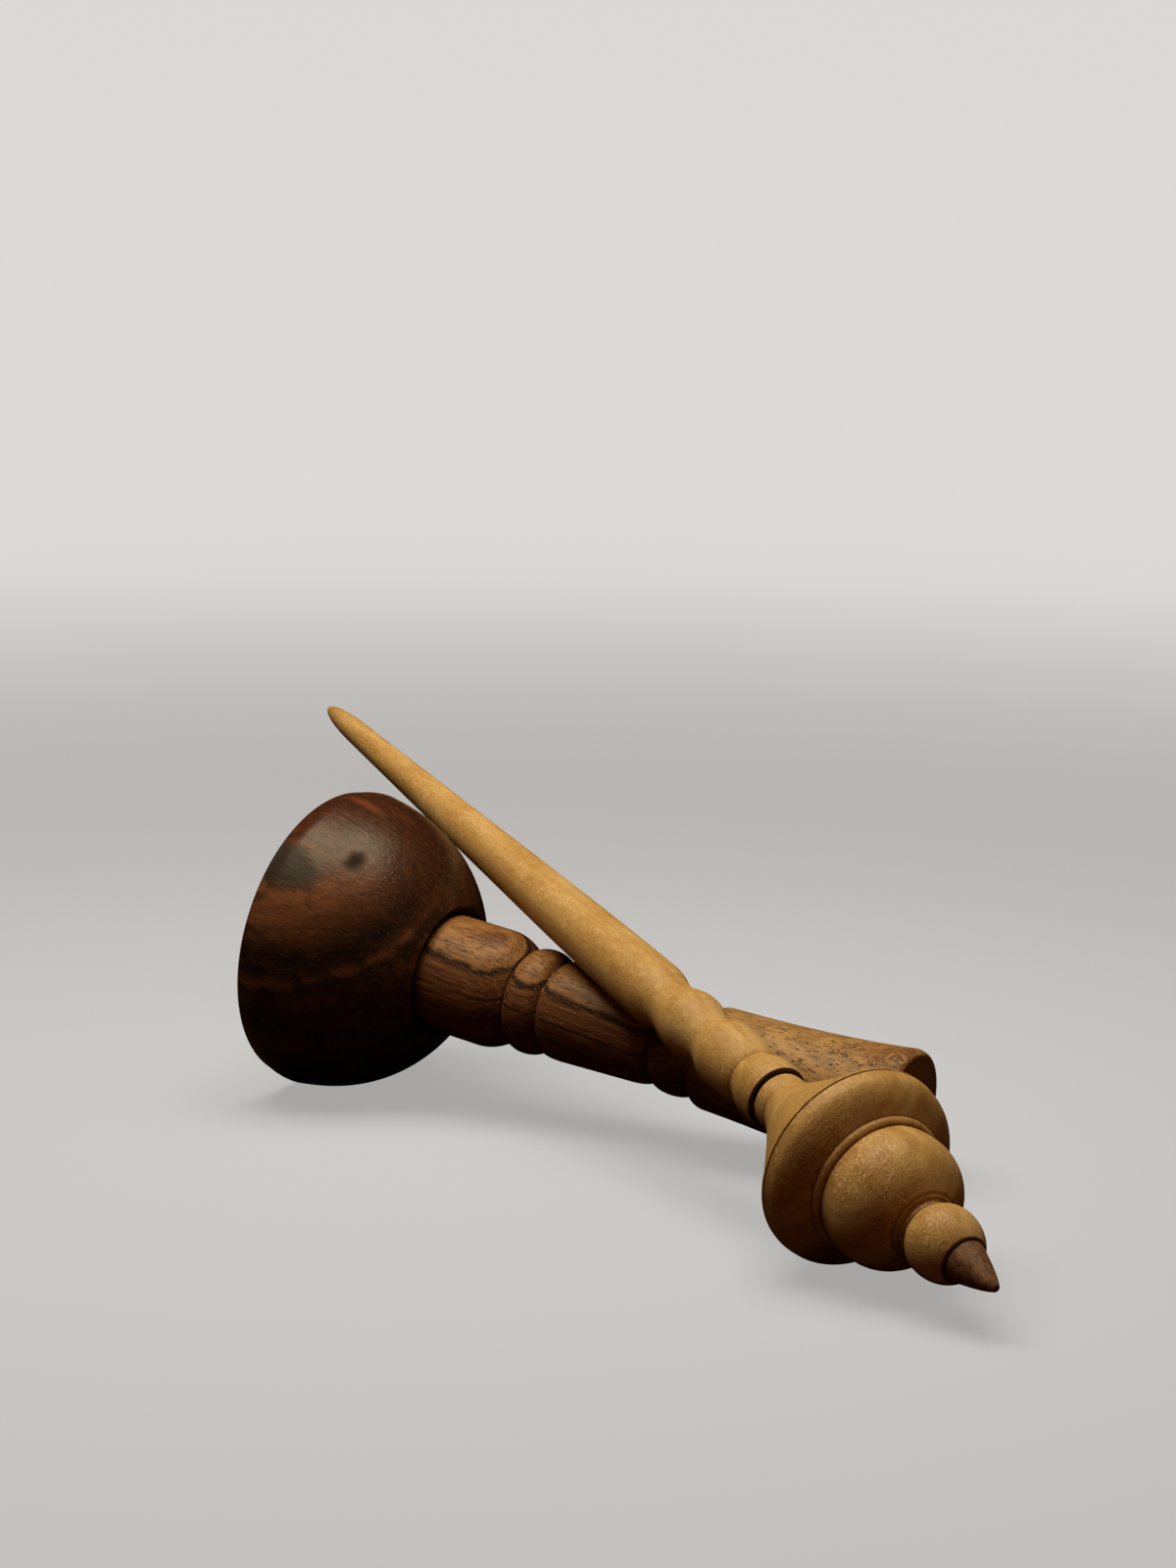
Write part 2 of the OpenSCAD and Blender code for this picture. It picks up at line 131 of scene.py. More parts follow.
FOOT_BANDS = [(-18, WALNUT_MID), (-9, WALNUT_TAN), (-3, WALNUT_BROWN), (3, WALNUT_TAN), (8, WALNUT_PALE),
              (10.5, WALNUT_PALE), (12.4, WALNUT_PALE), (17.5, WALNUT_PALE), (19.0, WALNUT_TAN), (19.8, WALNUT_BROWN)]

# Painted shade: fine dark lines round the whorl in its creases, grooves and inside corners: station, half width and
# strength
WHORL_CREASE_SHADE = [(21.5, 0.45, 0.8), (22.9, 0.22, 0.55), (37.3, 0.25, 0.5), (38.7, 0.3, 0.45), (46.2, 0.3, 0.6)]


class Line:
    """The turning axis of a body, with its own directions: z along it, x across it towards the camera."""

    def __init__(self, start, along, viewer):
        self.start = start
        self.along = along.normalized()
        towards = viewer - start
        self.across = (towards - self.along * towards.dot(self.along)).normalized()
        self.side = self.along.cross(self.across)

    def turn(self):
        """The turn that carries world directions to the axis's own."""
        return Matrix((self.across, self.side, self.along)).transposed().to_euler()

    def polar(self, point):
        station = (point - self.start).dot(self.along)
        radius = (point - self.start - self.along * station).length
        return station, radius


spin_joint = frame["joints"][0]
foot_face = frame["record"]["mounts"][0]
spinning_point = Vector(spin_joint["pos_m"])
camera_place = spinning_point + CAMERA_FROM_POINT
spindle_line = Line(spinning_point, Vector(spin_joint["axis"]), camera_place)
bowl_line = Line(Vector(foot_face["pos_m"]), -Vector(foot_face["axis"]), camera_place)


# Turned pieces

def outline_of(node, line):
    """(station, radius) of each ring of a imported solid, in order, from one end of its axis to the other."""
    rings = []
    cells = {}
    ring_of = []
    for vertex in node.data.vertices:
        station, radius = line.polar(vertex.co)
        cell = (round(station / SAME_RING), round(radius / SAME_RING))
        near = [cells[(cell[0] + i, cell[1] + j)] for i in (-1, 0, 1) for j in (-1, 0, 1)
                if (cell[0] + i, cell[1] + j) in cells]
        if near:
            ring_of.append(near[0])
        else:
            cells[cell] = len(rings)
            ring_of.append(len(rings))
            rings.append((station, radius))
    beside = [set() for _ in rings]
    for face in node.data.polygons:
        for a, b in face.edge_keys:
            if ring_of[a] != ring_of[b]:
                beside[ring_of[a]].add(ring_of[b])
                beside[ring_of[b]].add(ring_of[a])
    here = min((i for i in range(len(rings)) if len(beside[i]) == 1), key=lambda i: rings[i][0])
    walk = [here]
    while True:
        onward = [i for i in beside[here] if i not in walk]
        if not onward:
            break
        here = onward[0]
        walk.append(here)
    points = [rings[i] for i in walk]
    if points[0][1] > SAME_RING:
        points.insert(0, (points[0][0], 0.0))
    if points[-1][1] > SAME_RING:
        points.append((points[-1][0], 0.0))
    return points


def round_the_rim(points):
    """The whorl's outline with the disc's rim finished: a fillet at the ball, a full underside and a ledge."""
    rim = []
    for i in range(9):
        angle = math.radians(90 * i / 8)
        rim.append((BALL_SEAT[0] + (FILLET_END[0] - BALL_SEAT[0]) * (1 - math.cos(angle)),
                    BALL_SEAT[1] + (FILLET_END[1] - BALL_SEAT[1]) * math.sin(angle)))
    for i in range(31):
        t = i / 30
        shares = ((1 - t) ** 3, 3 * t * (1 - t) ** 2, 3 * t * t * (1 - t), t ** 3)
        rim.append(tuple(sum(share * end[axis] for share, end in zip(shares, UNDERSIDE)) for axis in (0, 1)))
    rim += LEDGE
    before = [point for point in points if point[0] < (rim[0][0] - 0.1) * MM]
    after = [point for point in points if point[0] > (rim[-1][0] + 0.2) * MM]
    return before + [(station * MM, radius * MM) for station, radius in rim] + after


def turn_piece(name, points, line):
    """Draws the outline by extruding one point along it, then spins it about the axis."""
    places = [line.start + line.along * station + line.across * radius for station, radius in points]
    bpy.ops.object.select_all(action="DESELECT")
    bpy.ops.mesh.primitive_plane_add(size=MM, location=places[0])
    piece = bpy.context.object
    piece.name = name
    bpy.ops.object.transform_apply(location=True, rotation=True, scale=True)
    bpy.ops.object.mode_set(mode="EDIT")
    bpy.ops.mesh.select_all(action="SELECT")
    bpy.ops.mesh.merge(type="CENTER")
    for before, after in zip(places, places[1:]):
        bpy.ops.mesh.extrude_region_move(TRANSFORM_OT_translate={"value": after - before})
    bpy.ops.mesh.select_all(action="SELECT")
    bpy.ops.mesh.spin(steps=SPIN_STEPS, angle=math.tau, center=line.start, axis=line.along)
    bpy.ops.mesh.select_all(action="SELECT")
    bpy.ops.mesh.remove_doubles(threshold=0.0008 * MM)
    bpy.ops.mesh.normals_make_consistent(inside=False)
    bpy.ops.object.mode_set(mode="OBJECT")
    bpy.ops.object.shade_smooth_by_angle(angle=math.radians(EDGE_ANGLE))
    return piece


# Node helpers

def put(tree, kind, settings=None, inputs=None):
    node = tree.nodes.new("ShaderNode" + kind)
    for name, value in (settings or {}).items():
        setattr(node, name, value)
    for name, value in (inputs or {}).items():
        join(tree, value, node.inputs[name])
    return node


def join(tree, value, socket):
    """Links a socket, or sets a plain value."""
    if isinstance(value, bpy.types.NodeSocket):
        tree.links.new(value, socket)
    elif socket.type == "RGBA" and len(value) == 3:
        socket.default_value = (*value, 1.0)
    else:
        socket.default_value = value


def maths(tree, operation, *values, clamp=False):
    node = put(tree, "Math", {"operation": operation, "use_clamp": clamp})
    for value, socket in zip(values, node.inputs):
        join(tree, value, socket)
    return node.outputs[0]


def vector_maths(tree, operation, *values):
    node = put(tree, "VectorMath", {"operation": operation})
    for value, socket in zip(values, node.inputs):
        join(tree, value, socket)
    return node.outputs["Value" if operation in ("LENGTH", "DOT_PRODUCT") else "Vector"]


def step(tree, value, low, high, smooth=True):
    """0 below low and 1 above high."""
    kind = "SMOOTHSTEP" if smooth else "LINEAR"
    node = put(tree, "MapRange", {"interpolation_type": kind}, {"Value": value, "From Min": low, "From Max": high})
    return node.outputs[0]


def mix(tree, amount, first, second, blend="MIX"):
    node = put(tree, "Mix", {"data_type": "RGBA", "blend_type": blend})
    join(tree, amount, node.inputs["Factor"])
    join(tree, first, node.inputs[6])
    join(tree, second, node.inputs[7])
    return node.outputs[2]


def ramp(tree, value, stops):
    node = put(tree, "ValToRGB", None, {"Fac": value})
    band = node.color_ramp.elements
    while len(band) < len(stops):
        band.new(0.5)
    for element, (place, colour) in zip(band, stops):
        element.position = place
        element.color = (*colour, 1.0)
    return node.outputs["Color"]


def noise(tree, point, scale, detail=2.0, rough=0.5, distortion=0.0):
    node = put(tree, "TexNoise", None, {"Vector": point, "Scale": scale, "Detail": detail, "Roughness": rough,
                                        "Distortion": distortion})
    return node.outputs["Fac"]


def stretched(tree, point, across, along):
    """The point with its widths divided by across and its length by along."""
    return vector_maths(tree, "DIVIDE", point, (across, across, along))


def new_group(name, inputs, outputs):
    tree = bpy.data.node_groups.new(name, "ShaderNodeTree")
    for label, kind, value in inputs:
        socket = tree.interface.new_socket(name=label, in_out="INPUT", socket_type="NodeSocket" + kind)
        socket.default_value = value
    for label, kind in outputs:
        tree.interface.new_socket(name=label, in_out="OUTPUT", socket_type="NodeSocket" + kind)
    return tree, tree.nodes.new("NodeGroupInput").outputs, tree.nodes.new("NodeGroupOutput").inputs


def use(tree, group, **inputs):
    node = tree.nodes.new("ShaderNodeGroup")
    node.node_tree = group
    for name, value in inputs.items():
        join(tree, value, node.inputs[name.replace("_", " ")])
    return node.outputs


# Effects that several timbers share

def rings_group():
    """Growth rings round a pith line that runs along the blank, wandering as a tree does."""
    tree, given, out = new_group(
        "Growth rings",
        [("Point", "Vector", (0, 0, 0)), ("Pith", "Vector", (0, 0, 0)), ("Width", "Float", 2.0),
         ("Wander", "Float", 1.0), ("Run", "Float", 60.0), ("Waver", "Float", 0.0)],
        [("Reach", "Float"), ("Late", "Float"), ("Tone", "Float")])
    from_pith = vector_maths(tree, "SUBTRACT", given["Point"], given["Pith"])
    flat = vector_maths(tree, "MULTIPLY", from_pith, (1, 1, 0))
    size = put(tree, "CombineXYZ", None, {"X": 14.0, "Y": 14.0, "Z": given["Run"]}).outputs[0]
    slow = noise(tree, vector_maths(tree, "DIVIDE", given["Point"], size), 1.0, 3.0, 0.5)
    sway = maths(tree, "MULTIPLY", maths(tree, "SUBTRACT", slow, 0.5), given["Wander"])
    quick = noise(tree, stretched(tree, given["Point"], 3.0, 4.5), 1.0, 3.0, 0.6)
    sway = maths(tree, "ADD", sway, maths(tree, "MULTIPLY", maths(tree, "SUBTRACT", quick, 0.5), given["Waver"]))
    distance = maths(tree, "SUBTRACT", vector_maths(tree, "LENGTH", flat), vector_maths(tree, "LENGTH", given["Pith"]))
    reach = maths(tree, "ADD", distance, sway)
    count = maths(tree, "DIVIDE", reach, given["Width"])
    phase = maths(tree, "FRACT", maths(tree, "ADD", count, 100.0))
    rise = step(tree, phase, 0.30, 0.90)
    fall = step(tree, phase, 1.0, 0.94)
    join(tree, reach, out["Reach"])
    join(tree, maths(tree, "MULTIPLY", rise, fall), out["Late"])
    band = put(tree, "TexNoise", {"noise_dimensions": "1D"}, {"W": count, "Scale": 0.45, "Detail": 2.0})
    join(tree, band.outputs["Fac"], out["Tone"])
    return tree


def layers_group():
    """Fine layers inside the rings: fingerprint eyes where the turning skims them, and lines elsewhere."""
    tree, given, out = new_group(
        "Fine layers",
        [("Point", "Vector", (0, 0, 0)), ("Reach", "Float", 0.0), ("Pitch", "Float", 0.25),
         ("Curl", "Float", 0.3), ("Curl size", "Float", 1.4)],
        [("Layer", "Float")])
    size = put(tree, "CombineXYZ", None, {"X": given["Curl size"], "Y": given["Curl size"],
                                          "Z": maths(tree, "MULTIPLY", given["Curl size"], 1.5)}).outputs[0]
    curl = noise(tree, vector_maths(tree, "DIVIDE", given["Point"], size), 1.0, 2.0, 0.55)
    moved = maths(tree, "ADD", given["Reach"], maths(tree, "MULTIPLY", maths(tree, "SUBTRACT", curl, 0.5), given["Curl"]))
    wave = maths(tree, "SINE", maths(tree, "MULTIPLY", maths(tree, "DIVIDE", moved, given["Pitch"]), math.tau))
    join(tree, maths(tree, "MULTIPLY_ADD", wave, 0.5, 0.5), out["Layer"])
    return tree


def pores_group():
    """Short open vessels along the grain: dashes on the sides, dots on the ends."""
    tree, given, out = new_group(
        "Pores",
        [("Point", "Vector", (0, 0, 0)), ("Width", "Float", 0.5), ("Length", "Float", 6.0),
         ("Amount", "Float", 0.5)],
        [("Mask", "Float")])
    across = maths(tree, "MULTIPLY", given["Width"], 3.0)
    along = maths(tree, "MULTIPLY", given["Length"], 1.2)
    size = put(tree, "CombineXYZ", None, {"X": across, "Y": across, "Z": along}).outputs[0]
    cell = vector_maths(tree, "DIVIDE", given["Point"], size)
    spot = put(tree, "TexVoronoi", None, {"Vector": cell, "Scale": 1.0, "Randomness": 1.0})
    chance = put(tree, "SeparateColor", None, {"Color": spot.outputs["Color"]}).outputs[0]
    kept = maths(tree, "LESS_THAN", chance, given["Amount"])
    core = step(tree, spot.outputs["Distance"], 0.34, 0.14)
    join(tree, maths(tree, "MULTIPLY", core, kept), out["Mask"])
    return tree


def patch_group():
    """A soft-edged patch of the timber round a centre, with a ragged border."""
    tree, given, out = new_group(
        "Patch",
        [("Point", "Vector", (0, 0, 0)), ("Centre", "Vector", (0, 0, 0)), ("Size", "Vector", (5, 5, 5)),
         ("Softness", "Float", 0.5), ("Ragged", "Float", 0.3)],
        [("Mask", "Float"), ("Reach", "Float")])
    away = vector_maths(tree, "DIVIDE", vector_maths(tree, "SUBTRACT", given["Point"], given["Centre"]),
                        given["Size"])
    rough = noise(tree, stretched(tree, given["Point"], 3.0, 9.0), 1.0, 3.0, 0.6)
    shift = maths(tree, "MULTIPLY", maths(tree, "SUBTRACT", rough, 0.5), given["Ragged"])
    reach = maths(tree, "ADD", vector_maths(tree, "LENGTH", away), shift)
    inner = maths(tree, "SUBTRACT", 1.0, given["Softness"])
    join(tree, step(tree, reach, 1.0, inner), out["Mask"])
    join(tree, reach, out["Reach"])
    return tree


def tool_lines_group():
    """Faint rings that the gouge and the sandpaper leave, all round the axis."""
    tree, given, out = new_group(
        "Tool lines",
        [("Point", "Vector", (0, 0, 0)), ("Pitch", "Float", 0.5)],
        [("Line", "Float")])
    parts = put(tree, "SeparateXYZ", None, {"Vector": given["Point"]}).outputs
    radius = vector_maths(tree, "LENGTH", vector_maths(tree, "MULTIPLY", given["Point"], (1, 1, 0)))
    where = put(tree, "CombineXYZ", None, {"X": radius, "Y": parts["Z"], "Z": 0.0}).outputs[0]
    scaled = put(tree, "VectorMath", {"operation": "SCALE"}, {"Scale": maths(tree, "DIVIDE", 1.0, given["Pitch"])})
    join(tree, where, scaled.inputs[0])
    fine = noise(tree, scaled.outputs["Vector"], 1.0, 2.0, 0.6)
    join(tree, fine, out["Line"])
    return tree


def crease_group():
    """A dark line all round the axis at one station."""
    tree, given, out = new_group(
        "Crease",
        [("Point", "Vector", (0, 0, 0)), ("Station", "Float", 0.0), ("Half width", "Float", 0.5)],
        [("Mask", "Float")])
    parts = put(tree, "SeparateXYZ", None, {"Vector": given["Point"]}).outputs
    away = maths(tree, "ABSOLUTE", maths(tree, "SUBTRACT", parts["Z"], given["Station"]))
    share = maths(tree, "DIVIDE", away, given["Half width"])
    join(tree, step(tree, share, 1.0, 0.45), out["Mask"])
    return tree


RINGS = rings_group()
LAYERS = layers_group()
PORES = pores_group()
PATCH = patch_group()
TOOL_LINES = tool_lines_group()
CREASE = crease_group()


# Timbers

def far_station(node, line):
    """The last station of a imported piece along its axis, in millimetres."""
    return max(line.polar(vertex.co)[0] for vertex in node.data.vertices) / MM


def near_station(node, line):
    """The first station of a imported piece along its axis, in millimetres."""
    return min(line.polar(vertex.co)[0] for vertex in node.data.vertices) / MM


COLLAR_JOINT = far_station(frame["nodes"]["whorl"], spindle_line)
NIB_JOINT = near_station(frame["nodes"]["whorl"], spindle_line)


def new_timber(name, line):
    """A bare timber and its point in millimetres, with z along the turning axis."""
    material = bpy.data.materials.new(name)
    material.use_nodes = True
    tree = material.node_tree
    place = put(tree, "TexCoord").outputs["Object"]
    mapping = put(tree, "Mapping", {"vector_type": "TEXTURE"}, {"Vector": place})
    mapping.inputs["Location"].default_value = line.start
    mapping.inputs["Rotation"].default_value = line.turn()
    mapping.inputs["Scale"].default_value = (MM, MM, MM)
    return material, tree, mapping.outputs[0], tree.nodes["Principled BSDF"]


def around(line_angle, radius, station):
    """A point in the timber from its angle round the axis, where 0 faces the camera, in degrees and millimetres."""
    angle = math.radians(line_angle)
    return (radius * math.cos(angle), radius * math.sin(angle), station)


def finish_surface(tree, shader, colour, rough, height, depth, gloss):
    join(tree, colour, shader.inputs["Base Color"])
    join(tree, rough, shader.inputs["Roughness"])
    bump = put(tree, "Bump", None, {"Strength": 1.0, "Distance": depth, "Height": height})
    join(tree, bump.outputs["Normal"], shader.inputs["Normal"])
    shader.inputs["Specular IOR Level"].default_value = gloss


def darken(tree, colour, mask, amount, deep):
    """The colour pulled towards a deeper one where the mask is set."""
    return mix(tree, maths(tree, "MULTIPLY", mask, amount), colour, deep)


def gold_timber():
    """Honey-gold hardwood: close grain, faint rings, and curly eyes where the turning skims the layers."""
    material, tree, point, shader = new_timber("gold_hardwood", spindle_line)
    parts = put(tree, "SeparateXYZ", None, {"Vector": point}).outputs
    rings = use(tree, RINGS, Point=point, Pith=around(185, 70, 0), Width=2.7, Wander=3.0, Run=70.0)
    curls = use(tree, LAYERS, Point=point, Reach=rings["Reach"], Pitch=0.66, Curl=3.0, Curl_size=1.7)["Layer"]
    broken = step(tree, noise(tree, stretched(tree, point, 1.6, 1.6), 1.0, 2.0, 0.5), 0.40, 0.60)
    slow = noise(tree, stretched(tree, point, 6.0, 18.0), 1.0, 3.0, 0.55, 0.4)
    fleck = noise(tree, stretched(tree, point, 0.7, 1.6), 1.0, 3.0, 0.6, 0.8)
    fibre = noise(tree, stretched(tree, point, 0.16, 4.0), 1.0, 2.0, 0.5)
    lines = use(tree, TOOL_LINES, Point=point, Pitch=0.35)["Line"]
    body = maths(tree, "MULTIPLY_ADD", slow, 0.55, maths(tree, "MULTIPLY", rings["Tone"], 0.45))
    body = maths(tree, "MULTIPLY_ADD", maths(tree, "SUBTRACT", fleck, 0.5), 0.40, body)
    body = maths(tree, "MULTIPLY_ADD", maths(tree, "SUBTRACT", lines, 0.5), 0.16, body)
    colour = ramp(tree, body, [(0.22, GOLD_DEEP), (0.50, GOLD_MID), (0.80, GOLD_PALE)])
    colour = darken(tree, colour, rings["Late"], 0.16, GOLD_DEEP)
    colour = darken(tree, colour, step(tree, fibre, 0.58, 0.74), 0.14, GOLD_DEEP)

    # Skimmed layers face the camera's side and the far side of the axis
    width = vector_maths(tree, "LENGTH", vector_maths(tree, "MULTIPLY", point, (1, 1, 0)))
    facing = step(tree, maths(tree, "ABSOLUTE", maths(tree, "DIVIDE", parts["X"], width)), 0.55, 0.98)
    low_down = step(tree, parts["Z"], 64.0, 34.0)
    skim = maths(tree, "MULTIPLY", facing, maths(tree, "MULTIPLY_ADD", low_down, 0.6, 0.4))
    skim = maths(tree, "MULTIPLY", skim, maths(tree, "MULTIPLY_ADD", broken, 0.75, 0.25))
    colour = darken(tree, colour, maths(tree, "MULTIPLY", skim, step(tree, curls, 0.34, 0.08)), 0.40, GOLD_DEEP)
    colour = darken(tree, colour, maths(tree, "MULTIPLY", skim, step(tree, curls, 0.78, 0.98)), 0.70, GOLD_PALE)

    speck = use(tree, PATCH, Point=point, Centre=around(-28.3, 6.5, 84.8), Size=(0.4, 0.4, 0.4), Softness=0.4,
                Ragged=0.2)["Mask"]
    colour = darken(tree, colour, speck, 0.8, SPECK)
    # A dark burn line at the collar joint, widened over the collar's end face as painted shade
    burn_and_end_shade = use(tree, CREASE, Point=point, Station=COLLAR_JOINT - 0.2, Half_width=0.5)["Mask"]
    colour = darken(tree, colour, burn_and_end_shade, 0.94, BURN_AND_SHADE_DARK)
    # Painted shade in the nib joint, where the ball's edge shades the nib
    nib_joint_shade = use(tree, CREASE, Point=point, Station=NIB_JOINT, Half_width=0.35)["Mask"]
    colour = darken(tree, colour, nib_joint_shade, 0.8, BURN_AND_SHADE_DARK)
    # Painted shade along the whorl's creases, grooves and inside corners
    for station, half_width, amount in WHORL_CREASE_SHADE:
        fine = use(tree, CREASE, Point=point, Station=station, Half_width=half_width)["Mask"]
        colour = darken(tree, colour, fine, amount, GOLD_SHADE)
    rough = maths(tree, "MULTIPLY_ADD", fleck, 0.14, 0.40)
    height = maths(tree, "MULTIPLY_ADD", lines, 0.5, maths(tree, "MULTIPLY", curls, 0.3))
    finish_surface(tree, shader, colour, rough, height, 0.00005, 0.32)
    return material


def walnut_cup():
    """The cup's walnut: soft rings set out from the heart, a knot, and fine lines along the axis."""
    material, tree, point, shader = new_timber("walnut_cup", bowl_line)
    rings = use(tree, RINGS, Point=point, Pith=around(CUP_RING_TURN + 180, 200, 0), Width=2.1, Wander=5.0, Run=22.0, Waver=1.2)
    place = step(tree, rings["Reach"], -36.0, 36.0, smooth=False)
    colour = ramp(tree, place, [((reach + 36.0) / 72.0, colour) for reach, colour in CUP_BANDS])
    cloud = noise(tree, stretched(tree, point, 7.0, 15.0), 1.0, 4.0, 0.6, 0.9)
    fibre = noise(tree, stretched(tree, point, 0.6, 9.0), 1.0, 3.0, 0.6)
    ripple = noise(tree, stretched(tree, point, 1.3, 5.0), 1.0, 3.0, 0.6, 0.7)
    side_on = vector_maths(tree, "DOT_PRODUCT", point, around(CUP_RING_TURN, 1, 0))
    upward = vector_maths(tree, "DOT_PRODUCT", point, around(110, 1, 0))
    colour = darken(tree, colour, step(tree, upward, 1.0, 12.0), 0.88, WALNUT_WINE)
    gap = noise(tree, stretched(tree, point, 6.0, 9.0), 1.0, 3.0, 0.6)
    low_down = maths(tree, "MULTIPLY", step(tree, side_on, 21.0, 17.0), step(tree, gap, 0.42, 0.58))
    colour = darken(tree, colour, low_down, 0.85, WALNUT_BLACK)
    colour = darken(tree, colour, step(tree, cloud, 0.50, 0.66), 0.75, WALNUT_DEEP)
    colour = darken(tree, colour, step(tree, cloud, 0.48, 0.30), 0.45, WALNUT_MID)
    colour = darken(tree, colour, step(tree, ripple, 0.53, 0.70), 0.34, WALNUT_DEEP)
    colour = darken(tree, colour, step(tree, ripple, 0.46, 0.32), 0.16, WALNUT_BROWN)
    colour = darken(tree, colour, rings["Late"], 0.20, WALNUT_DEEP)
    colour = darken(tree, colour, step(tree, fibre, 0.56, 0.66), 0.45, WALNUT_BLACK)
    colour = darken(tree, colour, step(tree, fibre, 0.44, 0.34), 0.16, WALNUT_TAN)

    flame = use(tree, PATCH, Point=point, Centre=around(64, 33, 140), Size=(2.2, 2.2, 9), Softness=0.9, Ragged=0.9)
    colour = darken(tree, colour, flame["Mask"], 0.75, WALNUT_RED)
    patch = use(tree, PATCH, Point=point, Centre=around(20, 34, 145), Size=(7, 7, 13), Softness=0.5, Ragged=0.5)
    below = step(tree, maths(tree, "MULTIPLY_ADD", ripple, 1.2, side_on), 31.0, 31.3)
    colour = darken(tree, colour, maths(tree, "MULTIPLY", patch["Mask"], below), 0.92, GREEN_BLACK)
    halo = use(tree, PATCH, Point=point, Centre=around(34, 30.5, 131), Size=(7.0, 7.0, 6.5), Softness=0.9, Ragged=0.5)
    knot = use(tree, PATCH, Point=point, Centre=around(33, 30.5, 130.2), Size=(4.6, 4.2, 3.2), Softness=0.9, Ragged=0.9)
    colour = darken(tree, colour, halo["Mask"], 0.55, WALNUT_MID)
    colour = darken(tree, colour, knot["Mask"], 0.94, WALNUT_BLACK)
    lines = use(tree, TOOL_LINES, Point=point, Pitch=0.5)["Line"]
    rough = maths(tree, "ADD", maths(tree, "MULTIPLY_ADD", ripple, 0.30, 0.17), maths(tree, "MULTIPLY", knot["Mask"], 0.5))
    rough = maths(tree, "MULTIPLY_ADD", patch["Mask"], 0.22, rough)
    height = maths(tree, "MULTIPLY_ADD", lines, 0.3, maths(tree, "MULTIPLY", ripple, 0.9))
    finish_surface(tree, shader, colour, rough, height, 0.00014, 0.31)
    return material


def walnut_handle():
    """The handle's walnut: long dark growth lines, growing tan and figured towards the foot."""
    material, tree, point, shader = new_timber("walnut_handle", bowl_line)
    parts = put(tree, "SeparateXYZ", None, {"Vector": point}).outputs
    drift = maths(tree, "MULTIPLY", maths(tree, "SUBTRACT", parts["Z"], 80.0), -HANDLE_SLANT)
    turn = math.radians(HANDLE_RING_TURN)
    shift = put(tree, "CombineXYZ", None, {"X": maths(tree, "MULTIPLY", drift, math.cos(turn)),
                                           "Y": maths(tree, "MULTIPLY", drift, math.sin(turn))}).outputs[0]
    slanted = vector_maths(tree, "ADD", point, shift)
    rings = use(tree, RINGS, Point=slanted, Pith=around(HANDLE_RING_TURN + 180, 200, 0), Width=1.5, Wander=1.5,
                Run=22.0, Waver=0.8)
    curls = use(tree, LAYERS, Point=point, Reach=rings["Reach"], Pitch=0.9, Curl=3.0, Curl_size=2.2)["Layer"]
    place = step(tree, rings["Reach"], -20.0, 20.0, smooth=False)
    bands = ramp(tree, place, [((reach + 20.0) / 40.0, colour) for reach, colour in HANDLE_BANDS])
    tan = ramp(tree, place, [((reach + 20.0) / 40.0, colour) for reach, colour in FOOT_BANDS])
    footward = step(tree, parts["Z"], 56.0, 34.0)
    colour = mix(tree, footward, bands, tan)
    fibre = noise(tree, stretched(tree, slanted, 0.55, 7.0), 1.0, 3.0, 0.6)
    ripple = noise(tree, stretched(tree, slanted, 1.1, 3.4), 1.0, 3.0, 0.6, 0.9)
    colour = darken(tree, colour, step(tree, ripple, 0.52, 0.70), 0.40, WALNUT_MID)
    colour = darken(tree, colour, step(tree, ripple, 0.46, 0.30), 0.30, WALNUT_TAN)
    colour = darken(tree, colour, step(tree, fibre, 0.52, 0.62), 0.50, WALNUT_DEEP)
    colour = darken(tree, colour, step(tree, fibre, 0.46, 0.36), 0.34, WALNUT_PALE)
    colour = darken(tree, colour, rings["Late"], 0.30, WALNUT_DEEP)
    lit = maths(tree, "MULTIPLY", step(tree, curls, 0.80, 0.98), step(tree, rings["Reach"], 7.0, 11.0))
    colour = darken(tree, colour, lit, maths(tree, "MULTIPLY_ADD", footward, 0.30, 0.16), WALNUT_PALE)

    eye = use(tree, PATCH, Point=point, Centre=around(50, 14.2, 2.9), Size=(4.2, 4.2, 4.2), Softness=0.5, Ragged=0.55)
    hoop = maths(tree, "ABSOLUTE", maths(tree, "SINE", maths(tree, "MULTIPLY", eye["Reach"], 7.5)))
    eyed = maths(tree, "MULTIPLY", eye["Mask"], step(tree, hoop, 0.45, 0.95))
    colour = darken(tree, colour, eye["Mask"], 0.6, WALNUT_PALE)
    colour = darken(tree, colour, eyed, 0.7, WALNUT_MID)
    curled = use(tree, PATCH, Point=point, Centre=around(40, 13, 15.5), Size=(5, 5, 6), Softness=0.7, Ragged=0.8)["Mask"]
    wisp = noise(tree, stretched(tree, point, 1.2, 2.2), 1.0, 2.0, 0.5, 1.5)
    ridge = maths(tree, "ABSOLUTE", maths(tree, "SUBTRACT", wisp, 0.5))
    colour = darken(tree, colour, maths(tree, "MULTIPLY", curled, step(tree, ridge, 0.05, 0.01)), 0.9, WALNUT_BLACK)
    pale_wisp = maths(tree, "ABSOLUTE", maths(tree, "SUBTRACT", wisp, 0.60))
    colour = darken(tree, colour, maths(tree, "MULTIPLY", curled, step(tree, pale_wisp, 0.03, 0.0)), 0.8, WALNUT_PALE)
    pore = use(tree, PORES, Point=slanted, Width=0.22, Length=2.0, Amount=0.6)["Mask"]
    colour = darken(tree, colour, pore, maths(tree, "MULTIPLY_ADD", footward, 0.35, 0.5), WALNUT_BLACK)
    rough = maths(tree, "MULTIPLY_ADD", fibre, 0.22, 0.30)
    lines = use(tree, TOOL_LINES, Point=point, Pitch=0.5)["Line"]
    height = maths(tree, "SUBTRACT", maths(tree, "MULTIPLY", lines, 0.3), maths(tree, "MULTIPLY", pore, 0.8))
    finish_surface(tree, shader, colour, rough, height, 0.00012, 0.22)
    return material


